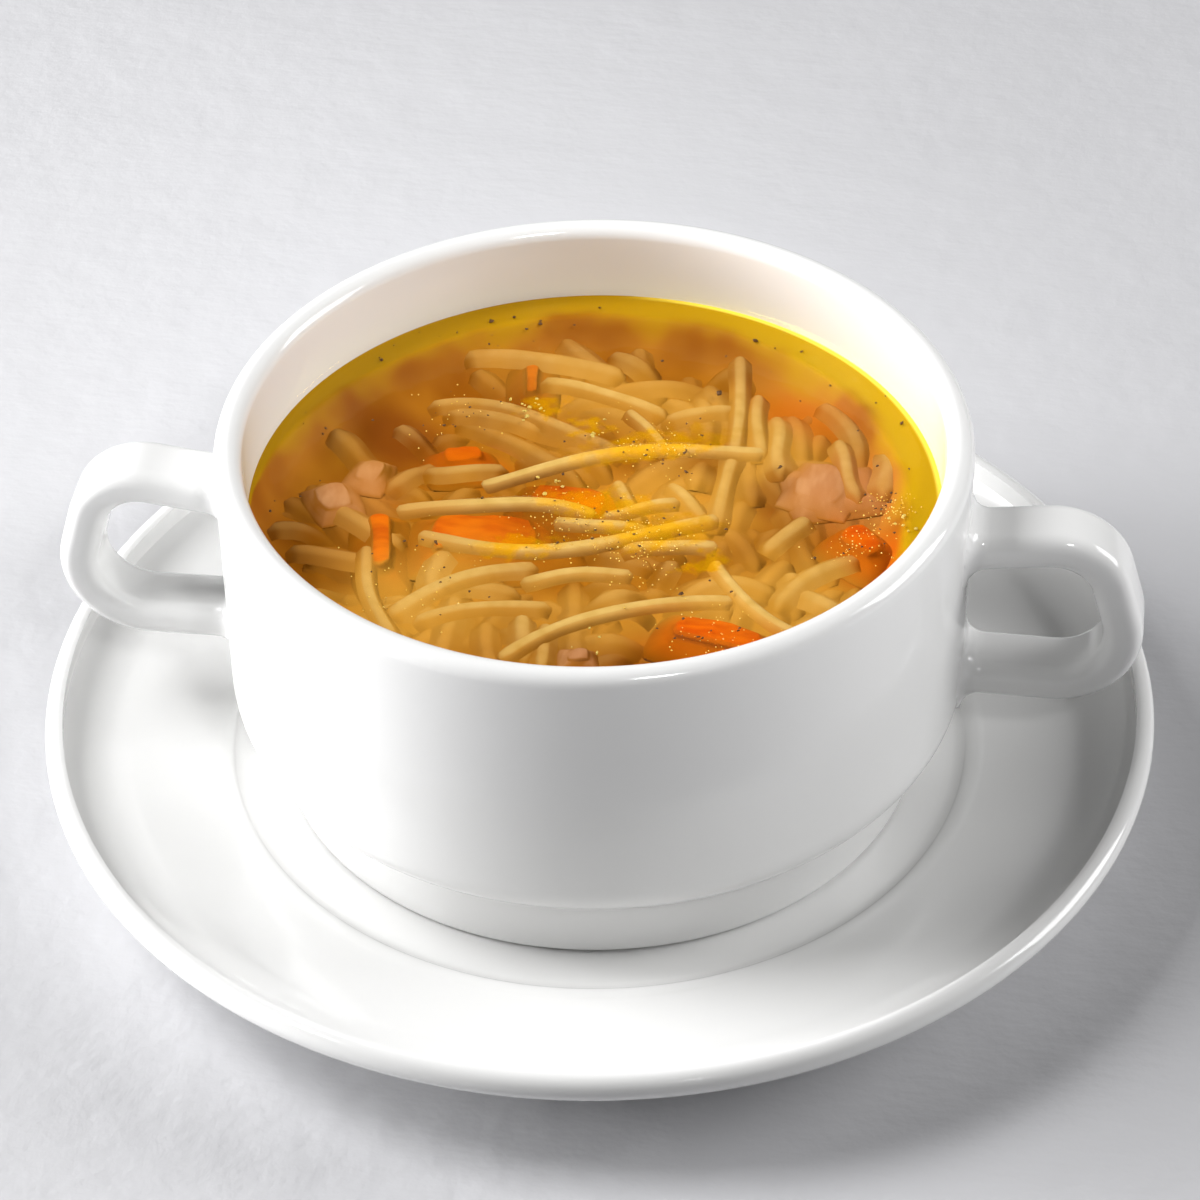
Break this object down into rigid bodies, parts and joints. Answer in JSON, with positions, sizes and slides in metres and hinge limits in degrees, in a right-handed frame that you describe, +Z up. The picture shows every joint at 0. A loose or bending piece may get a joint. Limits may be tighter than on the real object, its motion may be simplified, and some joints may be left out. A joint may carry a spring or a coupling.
{
  "type": "chicken noodle soup",
  "caption": "Clear chicken soup with short noodles, carrot and chicken in a two-handled stacking soup cup on a round saucer.",
  "frame": {"origin": "centre of the saucer's foot ring, on the surface it stands on", "axes": "+Z up along the axis of the cup and saucer, X through the two handles"},
  "size_m": [0.1602, 0.1602, 0.0637],
  "materials": {
    "porcelain": "glossy glazed white porcelain",
    "broth": "amber chicken broth, cloudy below and glossy on top, with golden fat at its edge",
    "noodle": "wet boiled egg noodle, slightly translucent",
    "carrot": "boiled carrot, wet and fibrous",
    "chicken": "boiled chicken meat, wet, with a fine grain"
  },
  "bodies": {
    "root": {"saucer": "porcelain", "cup": "porcelain", "broth": "broth", "noodles": "noodle", "carrot_1": "carrot", "carrot_2": "carrot", "carrot_3": "carrot", "carrot_4": "carrot", "carrot_5": "carrot", "chicken_1": "chicken", "chicken_2": "chicken"}
  },
  "joints": []
}
